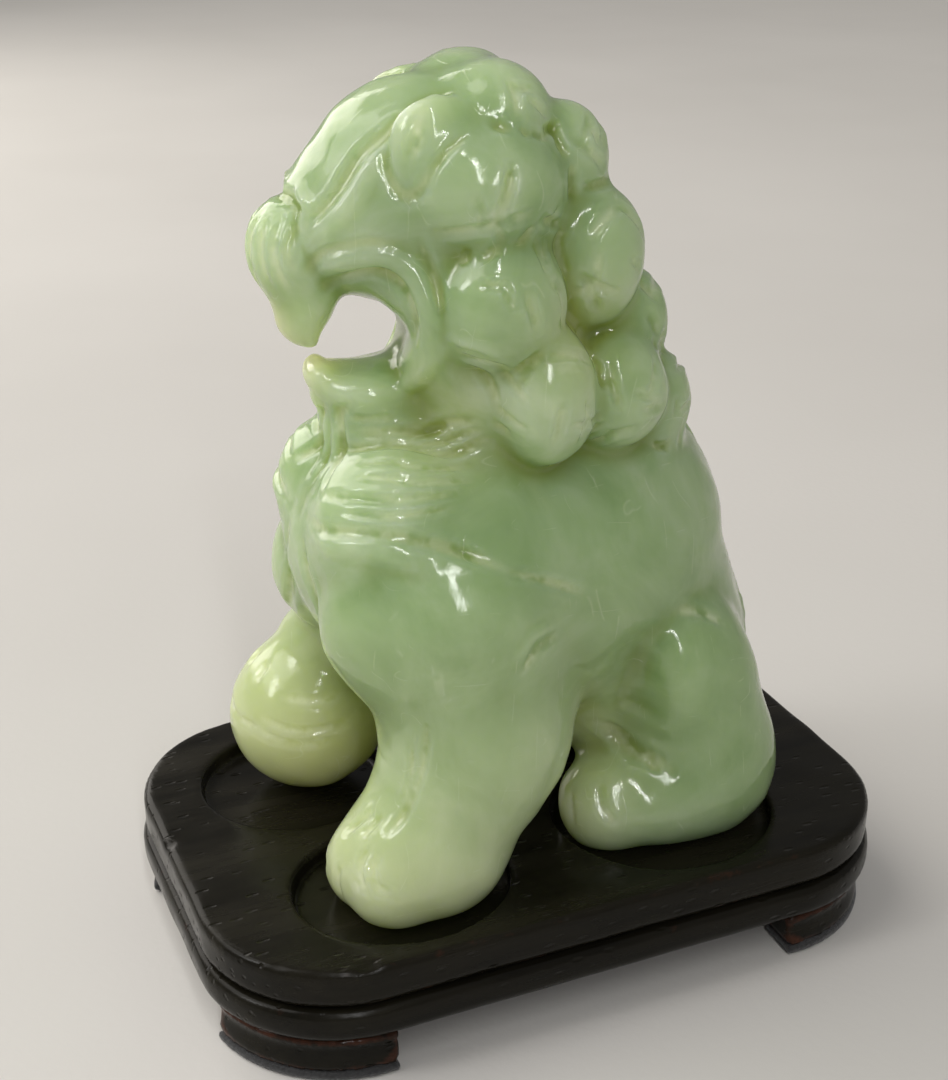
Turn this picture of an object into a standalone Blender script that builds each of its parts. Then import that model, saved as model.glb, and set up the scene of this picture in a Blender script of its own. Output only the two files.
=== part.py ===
"""A carved jade guardian lion with one forepaw on a ball, resting in a fitted lacquered wooden stand.

Lengths are in millimetres until they are placed in the scene, which is in metres with +Z up. The lion
faces -Y and its left side is +X. The origin is on the ground at the centre of the stand. The lion is
one carved stone, ball included, and it lifts straight up out of its seat in the stand.
"""

import math

import bmesh
import bpy
from mathutils import Euler, Matrix, Vector

MM = 0.001
GAP = 0.3  # left between pieces that touch

# Stand
STAND_LENGTH = 72.0
STAND_WIDTH = 47.7
STAND_HEIGHT = 12.5
CORNER_RADIUS = 13.9
CORNER_STEPS = 8
TOP_BOARD_THICKNESS = 4.0
TOP_EDGE_ROUND = 0.8
UNDER_EDGE_ROUND = 0.5
MOULDING_HEIGHT = 3.4
MOULDING_NECK = 0.6
MOULDING_BULGE = 0.4
MOULDING_STEPS = 6
FOOT_REACH_X = 11.5
FOOT_REACH_Y = 15.0
FOOT_BAND = 5.0
FOOT_FLARE = -0.2
FOOT_WAIST = -0.7
FOOT_HEAD = -0.2
FELT_THICKNESS = 0.8
FELT_OUTSET = -0.2

# Seat in the stand: (x, y, radius along X, radius along Y) of each rounded lobe of the pocket
SEAT_DEPTH = 1.5
SEAT_LOBES = (
    (-9.4, -20.2, 9.6, 9.8),
    (12.2, -16.4, 9.4, 10.7),
    (10.6, 12.8, 11.0, 11.4),
    (-10.6, 12.8, 11.0, 11.4),
    (0.0, 17.0, 9.0, 8.0),
)
SEAT_STEPS = 28

# Lion
LION_BASE_Z = STAND_HEIGHT - SEAT_DEPTH + GAP
LION_VOXEL = 0.9
LION_SMOOTHING = 6
LION_KEPT_SHARE = 0.15  # of the triangles that the voxels leave
BALL_CENTRE = (-11.0, -17.6, 19.8)
BALL_RADIUS = 8.7
HEAD_PIVOT = (0.0, -4.0)
HEAD_TURN = -10.0  # degrees about Z, towards the ball
MOUTH_CENTRE = (-14.6, 63.3)  # along Y and Z, before the head turns
MOUTH_RADII = (4.0, 2.7)
MOUTH_FLARE = (0.12, 0.28)
MOUTH_REACH = 9.5
MOUTH_STEPS = 20
LIP_GAP = 1.4
LIP_GAP_Z = 62.4

# Masses that merge into the lion: centre, radii, and pitch about X in degrees.
# A mass with x above zero in a paired list has a twin on the right side.
TORSO = (
    ((0.0, -6.5, 42.0), (14.4, 15.6, 14.0), -8),  # chest
    ((0.0, 7.6, 40.0), (13.0, 15.0, 17.0), 18),  # back
    ((0.0, 12.6, 28.0), (12.6, 13.4, 12.0), 20),  # rump
    ((7.6, -9.8, 38.6), (8.2, 12.0, 9.8), 6),  # shoulders
    ((7.0, 3.0, 37.0), (8.0, 13.0, 11.5), 0),  # flanks
    ((5.4, -13.2, 44.2), (7.4, 8.2, 7.8), 0),  # breast lobes
)
HEAD = (
    ((0.0, -9.2, 76.4), (9.4, 10.6, 9.8), 18),  # forehead
    ((0.0, -14.8, 74.0), (8.0, 6.6, 6.0), 0),  # face
    ((0.0, -20.6, 71.4), (4.9, 3.7, 4.6), 0),  # nose
    ((0.0, -19.2, 66.4), (5.0, 2.8, 4.4), -8),  # upper lip
    ((0.0, -13.8, 58.9), (6.0, 5.4, 2.4), -4),  # jaw
    ((0.0, -17.8, 59.9), (4.2, 1.9, 1.6), 0),  # curled tip of the jaw
    ((0.0, -12.0, 55.6), (6.8, 6.4, 5.0), 0),  # throat
    ((5.6, -8.6, 67.0), (4.6, 4.6, 7.0), 0),  # cheeks
    ((7.2, -8.6, 80.2), (2.4, 4.2, 5.4), 0),  # ears
)
MANE = (
    ((0.0, -2.0, 62.0), (10.6, 9.6, 13.0), 0),  # neck
    ((0.0, -1.5, 74.0), (8.6, 8.0, 9.0), 0),  # back of the skull
    ((3.2, -3.2, 83.2), (4.6, 4.8, 4.4), 0),  # curls, from the crown down
    ((8.4, -6.0, 78.0), (4.2, 5.2, 5.0), 0),
    ((4.0, 3.0, 79.2), (4.0, 3.7, 4.5), 0),
    ((6.5, 5.6, 70.2), (4.6, 4.3, 6.0), 0),
    ((10.4, -4.9, 68.0), (3.6, 5.4, 5.0), 0),
    ((10.8, -0.8, 58.8), (3.8, 4.2, 5.6), 0),
    ((4.0, 10.0, 63.0), (4.0, 3.8, 4.6), 0),
    ((8.6, 7.6, 57.6), (4.4, 4.6, 5.0), 0),
    ((4.2, 12.8, 54.6), (4.2, 4.0, 4.8), 0),
    ((0.0, 5.6, 74.8), (4.2, 4.2, 4.6), 0),
    ((0.0, 8.6, 66.8), (4.2, 4.2, 4.6), 0),
    ((0.0, 11.8, 58.6), (4.2, 4.2, 4.6), 0),
)
HIND_LEGS = (
    ((9.8, 15.2, 23.5), (7.0, 8.2, 12.0), 4),  # thighs
    ((11.0, 12.8, 15.4), (7.2, 11.8, 5.8), 0),  # paws
    ((9.6, 18.2, 16.4), (7.4, 7.0, 7.0), 0),  # heels
)
TAIL = (
    ((0.0, 24.4, 20.4), (4.4, 4.0, 8.0), 4),
    ((0.0, 21.6, 33.0), (3.8, 3.4, 10.0), 20),
)
FORE_PAWS = (
    ((12.4, -15.2, 14.6), (7.4, 8.7, 5.6), 0),  # on the stand
    ((-11.0, -18.6, 24.8), (5.6, 5.8, 4.4), 0),  # on the ball
)

# Forelegs: (centre, radius) from the shoulder down
LEFT_FORELEG = (((9.8, -7.0, 38.0), 8.6), ((10.8, -7.2, 25.5), 8.0), ((11.6, -11.6, 18.0), 7.7))
RIGHT_FORELEG = (((-9.4, -8.0, 38.0), 8.4), ((-10.4, -11.0, 30.0), 7.0), ((-10.8, -15.6, 26.4), 5.0))


# ---- making objects -----------------------------------------------------------------------------


def remove_everything():
    for item in list(bpy.data.objects):
        bpy.data.objects.remove(item, do_unlink=True)


def material(name, colour, roughness):
    made = bpy.data.materials.new(name)
    made.use_nodes = True
    shader = made.node_tree.nodes["Principled BSDF"]
    shader.inputs["Base Color"].default_value = (*colour, 1.0)
    shader.inputs["Roughness"].default_value = roughness
    shader.inputs["Metallic"].default_value = 0.0
    return made


def new_object(name, bm, finish=None):
    mesh = bpy.data.meshes.new(name)
    bm.normal_update()
    bm.to_mesh(mesh)
    bm.free()
    made = bpy.data.objects.new(name, mesh)
    bpy.context.scene.collection.objects.link(made)
    if finish:
        mesh.materials.append(finish)
    return made


def cut(target, cutter):
    difference = target.modifiers.new(cutter.name, "BOOLEAN")
    difference.operation = "DIFFERENCE"
    difference.solver = "EXACT"
    difference.object = cutter
    cutter.hide_render = True
    cutter.display_type = "WIRE"


def moved(x, y, z):
    return Matrix.Translation(Vector((x, y, z)) * MM)


def lofted(rings):
    """Closed solid through rings of points that all have the same number of points."""
    bm = bmesh.new()
    loops = [[bm.verts.new(Vector(point) * MM) for point in ring] for ring in rings]
    count = len(loops[0])
    for lower, upper in zip(loops, loops[1:]):
        for i in range(count):
            j = (i + 1) % count
            bm.faces.new((lower[i], lower[j], upper[j], upper[i]))
    bm.faces.new(loops[0][::-1])
    bm.faces.new(loops[-1])
    return bm


def stacked(levels):
    """Closed solid through level outlines, each given as (points, height)."""
    return lofted([[(x, y, z) for x, y in points] for points, z in levels])


# ---- stand --------------------------------------------------------------------------------------


def stand_outline(inset):
    """The stand's rounded rectangle, anticlockwise, drawn in by inset."""
    half_x = STAND_WIDTH / 2 - inset
    half_y = STAND_LENGTH / 2 - inset
    radius = CORNER_RADIUS - inset
    points = []
    for quarter, (side_x, side_y) in enumerate(((1, 1), (-1, 1), (-1, -1), (1, -1))):
        for step in range(CORNER_STEPS + 1):
            angle = math.radians(90 * (quarter + step / CORNER_STEPS))
            x = side_x * (half_x - radius) + radius * math.cos(angle)
            y = side_y * (half_y - radius) + radius * math.sin(angle)
            points.append((x, y))
    return points


def seat_cutters():
    """Shallow pocket that follows the footprint of the ball, the forefoot and the haunches."""
    height = 2 * SEAT_DEPTH
    cutters = []
    for index, (x, y, radius_x, radius_y) in enumerate(SEAT_LOBES):
        bm = bmesh.new()
        bmesh.ops.create_cone(
            bm, cap_ends=True, segments=SEAT_STEPS, radius1=MM, radius2=MM, depth=height * MM
        )
        bm.transform(moved(x, y, STAND_HEIGHT) @ Matrix.Diagonal((radius_x, radius_y, 1.0, 1.0)))
        cutters.append(new_object(f"seat_cutter_{index}", bm))
    return cutters


def stand_top_board(finish):
    top = STAND_HEIGHT
    bottom = top - TOP_BOARD_THICKNESS
    softened = 0.3 * TOP_EDGE_ROUND
    levels = (
        (stand_outline(UNDER_EDGE_ROUND), bottom),
        (stand_outline(0.0), bottom + UNDER_EDGE_ROUND),
        (stand_outline(0.0), top - TOP_EDGE_ROUND),
        (stand_outline(softened), top - softened),
        (stand_outline(TOP_EDGE_ROUND), top),
    )
    board = new_object("stand_top_board", stacked(levels), finish)
    for cutter in seat_cutters():
        cut(board, cutter)


def stand_moulding(finish):
    """Board under the top one, with a rounded edge that bulges between two necks."""
    middle = STAND_HEIGHT - TOP_BOARD_THICKNESS - GAP - MOULDING_HEIGHT / 2
    levels = []
    for step in range(MOULDING_STEPS + 1):
        angle = math.pi * step / MOULDING_STEPS
        inset = MOULDING_NECK - (MOULDING_NECK + MOULDING_BULGE) * math.sin(angle)
        levels.append((stand_outline(inset), middle - MOULDING_HEIGHT / 2 * math.cos(angle)))
    new_object("stand_moulding", stacked(levels), finish)


def corner_path(outset):
    """Line round the +X +Y corner, outset from the stand's outline, with a straight at each end."""
    radius = CORNER_RADIUS + outset
    centre_x = STAND_WIDTH / 2 - CORNER_RADIUS
    centre_y = STAND_LENGTH / 2 - CORNER_RADIUS
    start = (STAND_WIDTH / 2 + outset, STAND_LENGTH / 2 - FOOT_REACH_Y)
    end = (STAND_WIDTH / 2 - FOOT_REACH_X, STAND_LENGTH / 2 + outset)
    arc = []
    for step in range(CORNER_STEPS + 1):
        angle = math.radians(90 * step / CORNER_STEPS)
        arc.append((centre_x + radius * math.cos(angle), centre_y + radius * math.sin(angle)))
    return [start, *[p for p in arc if p[1] > start[1] and p[0] > end[0]], end]


def foot_outline(side_x, side_y, outset):
    """Plan of a bracket foot: a band that follows the stand's outline round one corner."""
    outer = corner_path(outset)
    inner = corner_path(outset - FOOT_BAND)
    points = [(side_x * x, side_y * y) for x, y in outer + inner[::-1]]
    return points if side_x * side_y > 0 else points[::-1]


def stand_foot(corner, side_x, side_y, finish):
    top = STAND_HEIGHT - TOP_BOARD_THICKNESS - MOULDING_HEIGHT - 2 * GAP
    bottom = FELT_THICKNESS + GAP
    levels = (
        (foot_outline(side_x, side_y, FOOT_FLARE), bottom),
        (foot_outline(side_x, side_y, FOOT_FLARE), bottom + 0.25 * (top - bottom)),
        (foot_outline(side_x, side_y, FOOT_WAIST), bottom + 0.75 * (top - bottom)),
        (foot_outline(side_x, side_y, FOOT_HEAD), top),
    )
    new_object(f"stand_foot_{corner}", stacked(levels), finish)


def felt_pad(corner, side_x, side_y, finish):
    outline = foot_outline(side_x, side_y, FELT_OUTSET)
    new_object(f"felt_pad_{corner}", stacked(((outline, 0.0), (outline, FELT_THICKNESS))), finish)


# ---- lion ---------------------------------------------------------------------------------------


def mass(bm, centre, radii, pitch):
    turn = Euler((math.radians(pitch), 0.0, 0.0)).to_matrix().to_4x4()
    place = moved(*centre) @ turn @ Matrix.Diagonal((*radii, 1.0))
    bmesh.ops.create_icosphere(bm, subdivisions=3, radius=MM, matrix=place)


def masses(bm, rows):
    for centre, radii, pitch in rows:
        mass(bm, centre, radii, pitch)


def paired_masses(bm, rows):
    masses(bm, rows)
    masses(bm, [((-x, y, z), radii, pitch) for (x, y, z), radii, pitch in rows if x > 0])


def add_part(bm, part):
    mesh = bpy.data.meshes.new("part")
    part.to_mesh(mesh)
    part.free()
    bm.from_mesh(mesh)
    bpy.data.meshes.remove(mesh)


def limb(bm, stations):
    """Chain of tapered round lengths, each the hull of the balls at its two ends."""
    for ends in zip(stations, stations[1:]):
        part = bmesh.new()
        for centre, radius in ends:
            bmesh.ops.create_icosphere(part, subdivisions=2, radius=radius * MM, matrix=moved(*centre))
        hull = bmesh.ops.convex_hull(part, input=part.verts)
        inside = [v for v in hull["geom_interior"] if isinstance(v, bmesh.types.BMVert)]
        bmesh.ops.delete(part, geom=inside, context="VERTS")
        add_part(bm, part)


def head_turn():
    pivot = moved(*HEAD_PIVOT, 0.0)
    return pivot @ Matrix.Rotation(math.radians(HEAD_TURN), 4, "Z") @ pivot.inverted()


def head(bm):
    part = bmesh.new()
    paired_masses(part, HEAD)
    part.transform(head_turn())
    add_part(bm, part)


def forelegs(bm):
    limb(bm, LEFT_FORELEG)
    limb(bm, RIGHT_FORELEG)
    masses(bm, FORE_PAWS)
    mass(bm, BALL_CENTRE, (BALL_RADIUS,) * 3, 0)


def mouth_cutter():
    """Hourglass tunnel across the mouth: narrow in the middle and flared towards both cheeks."""
    middle_y, middle_z = MOUTH_CENTRE
    rings = []
    for share in (-1.0, -0.67, -0.33, 0.0, 0.33, 0.67, 1.0):
        x = share * MOUTH_REACH
        radius_y = MOUTH_RADII[0] + MOUTH_FLARE[0] * abs(x)
        radius_z = MOUTH_RADII[1] + MOUTH_FLARE[1] * abs(x)
        angles = [math.tau * step / MOUTH_STEPS for step in range(MOUTH_STEPS)]
        rings.append(
            [(x, middle_y + radius_y * math.cos(a), middle_z + radius_z * math.sin(a)) for a in angles]
        )
    bm = lofted(rings)
    bm.transform(head_turn())
    return new_object("mouth_cutter", bm)


def block_cutter(name, low, high, turn):
    bm = bmesh.new()
    bmesh.ops.create_cube(bm, size=MM)
    middle = [(a + b) / 2 for a, b in zip(low, high)]
    size = [b - a for a, b in zip(low, high)]
    bm.transform(turn @ moved(*middle) @ Matrix.Diagonal((*size, 1.0)))
    return new_object(name, bm)


def lip_gap_cutter():
    """Slit that parts the tip of the upper lip from the tip of the jaw."""
    low = (-2 * MOUTH_REACH, MOUTH_CENTRE[0] - 12.0, LIP_GAP_Z - LIP_GAP / 2)
    high = (2 * MOUTH_REACH, MOUTH_CENTRE[0], LIP_GAP_Z + LIP_GAP / 2)
    return block_cutter("lip_gap_cutter", low, high, head_turn())


def base_cutter():
    """Levels the underside of the paws, the ball and the rump on the plane of the seat."""
    low = (-STAND_WIDTH, -STAND_LENGTH, 0.0)
    high = (STAND_WIDTH, STAND_LENGTH, LION_BASE_Z)
    return block_cutter("base_cutter", low, high, Matrix.Identity(4))


def jade_lion(finish):
    bm = bmesh.new()
    paired_masses(bm, TORSO)
    head(bm)
    paired_masses(bm, MANE)
    forelegs(bm)
    paired_masses(bm, HIND_LEGS)
    masses(bm, TAIL)
    lion = new_object("jade_lion", bm, finish)
    merge = lion.modifiers.new("merge_masses", "REMESH")
    merge.mode = "VOXEL"
    merge.voxel_size = LION_VOXEL * MM
    soften = lion.modifiers.new("soften", "SMOOTH")
    soften.iterations = LION_SMOOTHING
    cut(lion, mouth_cutter())
    cut(lion, lip_gap_cutter())
    thin = lion.modifiers.new("thin", "DECIMATE")
    thin.ratio = LION_KEPT_SHARE
    cut(lion, base_cutter())


# ---- whole object -------------------------------------------------------------------------------


def build():
    remove_everything()
    jade = material("jade", (0.34, 0.52, 0.30), 0.12)
    lacquer = material("black_lacquered_wood", (0.012, 0.010, 0.009), 0.25)
    felt = material("felt", (0.03, 0.03, 0.032), 0.95)
    stand_top_board(lacquer)
    stand_moulding(lacquer)
    corners = (
        ("front_left", 1, -1),
        ("front_right", -1, -1),
        ("rear_left", 1, 1),
        ("rear_right", -1, 1),
    )
    for corner, side_x, side_y in corners:
        stand_foot(corner, side_x, side_y, lacquer)
        felt_pad(corner, side_x, side_y, felt)
    jade_lion(jade)


build()
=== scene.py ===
"""Fine surface and finish of the jade guardian lion on its lacquered stand.

Every piece is modelled as a signed distance field, in millimetres, in which masses merge and grooves
are carved, and the field is then turned into a mesh that carries values for the finish, among them
masks for painted shade, painted glow and painted highlights.
"""

import math
import random

import bpy
import numpy as np
from mathutils import Euler, Matrix, Vector


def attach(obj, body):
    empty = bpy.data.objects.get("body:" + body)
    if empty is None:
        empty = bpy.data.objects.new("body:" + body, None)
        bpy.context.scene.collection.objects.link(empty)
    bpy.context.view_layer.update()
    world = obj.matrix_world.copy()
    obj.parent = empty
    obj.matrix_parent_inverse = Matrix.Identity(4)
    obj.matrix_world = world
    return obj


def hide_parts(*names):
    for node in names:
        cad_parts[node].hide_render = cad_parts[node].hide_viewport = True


MM = 0.001
FAR = 8.0
BURR = 0.22  # height of the lips of a carved line, as a share of its depth
BURR_AT = 1.7  # where the lips lie and how wide they are, as shares of the line's half width
BURR_WIDTH = 0.7
WIDEST_CUT = 1.0  # a groove of more half width, in mm, is a hollow and not a tool cut
CUT_SHARE = 0.7  # part of a cut's half width painted pale, a painted highlight where light catches the cut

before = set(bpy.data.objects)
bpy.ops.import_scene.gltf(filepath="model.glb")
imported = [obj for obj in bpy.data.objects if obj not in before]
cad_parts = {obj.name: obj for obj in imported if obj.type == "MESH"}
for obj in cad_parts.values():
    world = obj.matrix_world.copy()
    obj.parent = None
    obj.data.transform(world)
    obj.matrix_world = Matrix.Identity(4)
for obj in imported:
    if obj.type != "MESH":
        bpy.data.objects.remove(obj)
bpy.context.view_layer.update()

# ---- signed distance field ----------------------------------------------------------------------


class Clay:
    """Distances to a surface on a regular grid, in mm, negative inside."""

    def __init__(self, low, high, step):
        self.low = np.array(low, float)
        self.step = step
        self.shape = np.ceil((np.array(high, float) - self.low) / step).astype(int) + 1
        self.d = np.full(self.shape, FAR, np.float32)
        # painted highlight along the narrow tool cuts, 0 to 1
        self.cut_glints = np.zeros(self.shape, np.float32)

    def window(self, low, high):
        """Slices for a box and the coordinates of its grid points."""
        first = np.floor((np.array(low) - self.low) / self.step).astype(int)
        last = np.ceil((np.array(high) - self.low) / self.step).astype(int) + 1
        first = np.clip(first, 0, self.shape - 1)
        last = np.clip(last, first + 1, self.shape)
        axes = [self.low[i] + self.step * np.arange(first[i], last[i]) for i in range(3)]
        grid = np.meshgrid(*axes, indexing="ij", sparse=True)
        return tuple(slice(a, b) for a, b in zip(first, last)), [g.astype(np.float32) for g in grid]

    def add(self, shape, blend=1.0):
        low, high, distance = np.array(shape[0], float), np.array(shape[1], float), shape[2]
        pad = blend + 1.5
        where, grid = self.window(low - pad, high + pad)
        self.d[where] = smooth_min(self.d[where], distance(*grid), blend)

    def carve(self, shape, blend=0.6):
        low, high, distance = np.array(shape[0], float), np.array(shape[1], float), shape[2]
        pad = blend + 1.5
        where, grid = self.window(low - pad, high + pad)
        self.d[where] = -smooth_min(-self.d[where], distance(*grid), blend)

    def sample(self, points, field=None):
        """Distances, or another field of the same grid, at points, trilinear."""
        field = self.d if field is None else field
        place = (np.asarray(points, float) - self.low) / self.step
        cell = np.clip(np.floor(place).astype(int), 0, self.shape - 2)
        share = np.clip(place - cell, 0.0, 1.0)
        total = np.zeros(len(place))
        for corner in np.ndindex(2, 2, 2):
            weight = np.ones(len(place))
            for axis in range(3):
                weight *= share[:, axis] if corner[axis] else 1.0 - share[:, axis]
            index = cell + corner
            total += weight * field[index[:, 0], index[:, 1], index[:, 2]]
        return total

    def slope(self, points, reach=0.6):
        sides = []
        for axis in range(3):
            offset = np.zeros(3)
            offset[axis] = reach
            sides.append(self.sample(points + offset) - self.sample(points - offset))
        slope = np.stack(sides, 1)
        return slope / np.maximum(np.linalg.norm(slope, axis=1, keepdims=True), 1e-6)

    def settle(self, points):
        """Moves points onto the surface."""
        points = np.array(points, float)
        for _ in range(6):
            points -= self.slope(points) * np.clip(self.sample(points), -1.5, 1.5)[:, None]
        return points

    def stroke(self, points, width, depth):
        """A groove of that depth along a line on the surface, or a ridge if depth is negative."""
        line = self.settle(smooth_line(points))
        low, high = line.min(0), line.max(0)
        pad = 3.0 * width
        where, grid = self.window(low - pad, high + pad)
        nearest = np.full(self.d[where].shape, 1e9, np.float32)
        along = np.zeros_like(nearest)
        count = len(line) - 1
        for i, (a, b) in enumerate(zip(line, line[1:])):
            squared, t = to_segment(grid, a, b)
            closer = squared < nearest
            nearest = np.where(closer, squared, nearest)
            along = np.where(closer, (i + t) / count, along)
        away = np.sqrt(nearest) / width
        depth_here = depth * (np.exp(-(away**2)) - BURR * np.exp(-(((away - BURR_AT) / BURR_WIDTH) ** 2)))
        ends = np.clip(np.minimum(along, 1.0 - along) * 6.0, 0.25, 1.0)
        self.d[where] += depth_here * ends
        # narrow cuts also get a painted pale highlight along their line
        if depth > 0 and width < WIDEST_CUT:
            self.cut_glints[where] = np.maximum(self.cut_glints[where], ends * np.exp(-((away / CUT_SHARE) ** 2)))

    def mesh_arrays(self):
        """Vertices in mm and quads of the zero surface, by surface nets."""
        d = self.d
        inside = d < 0
        corners = list(np.ndindex(2, 2, 2))
        trimmed = [slice(0, -1), slice(1, None)]
        total = np.zeros(np.array(d.shape) - 1, np.int8)
        for corner in corners:
            total += inside[tuple(trimmed[c] for c in corner)]
        active = np.argwhere((total > 0) & (total < 8))
        number = np.full(total.shape, -1, np.int32)
        number[tuple(active.T)] = np.arange(len(active))
        sums = np.zeros((len(active), 3))
        hits = np.zeros(len(active))
        for start in corners:
            for axis in range(3):
                if start[axis]:
                    continue
                end = list(start)
                end[axis] = 1
                a = d[tuple((active + start).T)]
                b = d[tuple((active + end).T)]
                crosses = (a < 0) != (b < 0)
                share = np.where(crosses, a / np.where(crosses, a - b, 1.0), 0.0)
                place = np.array(start, float)[None, :].repeat(len(active), 0)
                place[:, axis] = share
                sums += place * crosses[:, None]
                hits += crosses
        points = self.low + self.step * (active + sums / hits[:, None])
        quads = []
        for axis in range(3):
            u, v = (axis + 1) % 3, (axis + 2) % 3
            ahead = [slice(None)] * 3
            behind = [slice(None)] * 3
            ahead[axis] = slice(1, None)
            behind[axis] = slice(0, -1)
            first, second = inside[tuple(behind)], inside[tuple(ahead)]
            for out in (False, True):
                edges = np.argwhere((first != second) & (first != out))
                edges = edges[(edges[:, u] > 0) & (edges[:, v] > 0)]
                edges = edges[(edges[:, u] < d.shape[u] - 1) & (edges[:, v] < d.shape[v] - 1)]
                ring = []
                for du, dv in ((-1, -1), (0, -1), (0, 0), (-1, 0)):
                    cell = edges.copy()
                    cell[:, u] += du
                    cell[:, v] += dv
                    ring.append(number[tuple(cell.T)])
                ring = np.stack(ring, 1)
                quads.append(ring[:, ::-1] if out else ring)
        return points, np.concatenate(quads)


def smooth_min(a, b, blend):
    overlap = np.maximum(blend - np.abs(a - b), 0.0)
    return np.minimum(a, b) - overlap * overlap / (4.0 * blend)


def to_segment(grid, a, b):
    """Squared distances to a segment, and where along it the nearest point lies, 0 to 1."""
    along = b - a
    length = max(float(along @ along), 1e-9)
    x, y, z = [g - c for g, c in zip(grid, a)]
    t = np.clip((x * along[0] + y * along[1] + z * along[2]) / length, 0.0, 1.0)
    squared = (x - t * along[0]) ** 2 + (y - t * along[1]) ** 2 + (z - t * along[2]) ** 2
    return squared.astype(np.float32), t


def smooth_line(points, spacing=0.7):
    """Curve through the points, sampled at about that spacing."""
    points = np.array(points, float)
    if len(points) == 2:
        count = max(2, int(np.linalg.norm(points[1] - points[0]) / spacing) + 1)
        return points[0] + np.linspace(0, 1, count)[:, None] * (points[1] - points[0])
    ends = np.vstack([2 * points[0] - points[1], points, 2 * points[-1] - points[-2]])
    line = []
    for p0, p1, p2, p3 in zip(ends, ends[1:], ends[2:], ends[3:]):
        count = max(2, int(np.linalg.norm(p2 - p1) / spacing) + 1)
        for t in np.linspace(0, 1, count, endpoint=False):
            line.append(
                0.5
                * (
                    2 * p1
                    + (p2 - p0) * t
                    + (2 * p0 - 5 * p1 + 4 * p2 - p3) * t * t
                    + (3 * p1 - p0 - 3 * p2 + p3) * t**3
                )
            )
    line.append(points[-1])
    return np.array(line)


def ellipsoid(centre, radii, turn=(0.0, 0.0, 0.0), place=None):
    """(low corner, high corner, distance) of an ellipsoid, turned by degrees about X, Y and Z."""
    rotation = Euler([math.radians(a) for a in turn]).to_matrix()
    centre = Vector(centre)
    if place is not None:
        centre = place @ centre
        rotation = place.to_3x3() @ rotation
    axes = np.array(rotation, float)
    radii = np.array(radii, float)
    middle = np.array(centre, float)
    reach = np.sqrt(((axes * radii) ** 2).sum(1))

    def distance(x, y, z):
        x, y, z = x - middle[0], y - middle[1], z - middle[2]
        local = [x * axes[0, i] + y * axes[1, i] + z * axes[2, i] for i in range(3)]
        near = np.sqrt(sum((p / r) ** 2 for p, r in zip(local, radii)))
        scale = np.sqrt(sum((p / (r * r)) ** 2 for p, r in zip(local, radii)))
        return near * (near - 1.0) / np.maximum(scale, 1e-6)

    return middle - reach, middle + reach, distance


def tapered(a, radius_a, b, radius_b, place=None):
    """A round limb from a to b."""
    a, b = Vector(a), Vector(b)
    if place is not None:
        a, b = place @ a, place @ b
    a, b = np.array(a), np.array(b)
    largest = max(radius_a, radius_b)

    def distance(x, y, z):
        squared, t = to_segment((x, y, z), a, b)
        return np.sqrt(squared) - (radius_a + (radius_b - radius_a) * t)

    return np.minimum(a, b) - largest, np.maximum(a, b) + largest, distance


def slab(low, high):
    low, high = np.array(low, float), np.array(high, float)
    middle, half = (low + high) / 2, (high - low) / 2

    def distance(x, y, z):
        gaps = [np.abs(g - m) - h for g, m, h in zip((x, y, z), middle, half)]
        return np.maximum(np.maximum(gaps[0], gaps[1]), gaps[2])

    return low, high, distance


def mirrored(point):
    return (-point[0], point[1], point[2])


# ---- lion ---------------------------------------------------------------------------------------

LION_LOW = (-21.0, -28.5, 10.6)
LION_HIGH = (21.5, 30.5, 89.5)
LION_STEP = 0.3
LION_BASE_Z = 11.3
LION_WAVES = (0.07, 0.55)  # hand unevenness: height in mm, and how tightly it repeats
BALL_CENTRE = (-11.0, -17.9, 19.4)
BALL_RADIUS = 8.2
HEAD_PLACE = (
    Matrix.Translation((0.0, -4.0, 0.0))
    @ Matrix.Rotation(math.radians(-10.0), 4, "Z")
    @ Matrix.Translation((0.0, 4.0, 0.0))
)


def masses(clay, rows, place=None):
    """Rows of centre, radii, turn in degrees, blend. A row with x above zero has a twin."""
    for centre, radii, turn, blend in rows:
        clay.add(ellipsoid(centre, radii, turn, place), blend)
        if centre[0] > 0:
            twin_turn = (turn[0], -turn[1], -turn[2])
            clay.add(ellipsoid(mirrored(centre), radii, twin_turn, place), blend)


def model_body(clay):
    masses(
        clay,
        (
            ((0.0, -6.5, 42.0), (14.4, 15.6, 14.0), (-8, 0, 0), 3.0),
            ((0.0, 7.6, 40.0), (13.0, 15.0, 17.0), (18, 0, 0), 4.0),
            ((0.0, 12.6, 28.0), (12.6, 13.4, 12.0), (20, 0, 0), 4.0),
            ((0.0, -2.0, 60.0), (10.6, 9.6, 11.0), (0, 0, 0), 3.0),
            ((5.4, -13.2, 46.4), (7.6, 8.4, 8.4), (0, 0, 0), 1.6),
            ((7.0, 2.0, 38.0), (8.0, 12.0, 11.0), (0, 0, 0), 3.0),
            ((7.6, -9.8, 38.6), (8.2, 12.0, 9.8), (6, 0, 0), 1.2),
        ),
    )


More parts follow.
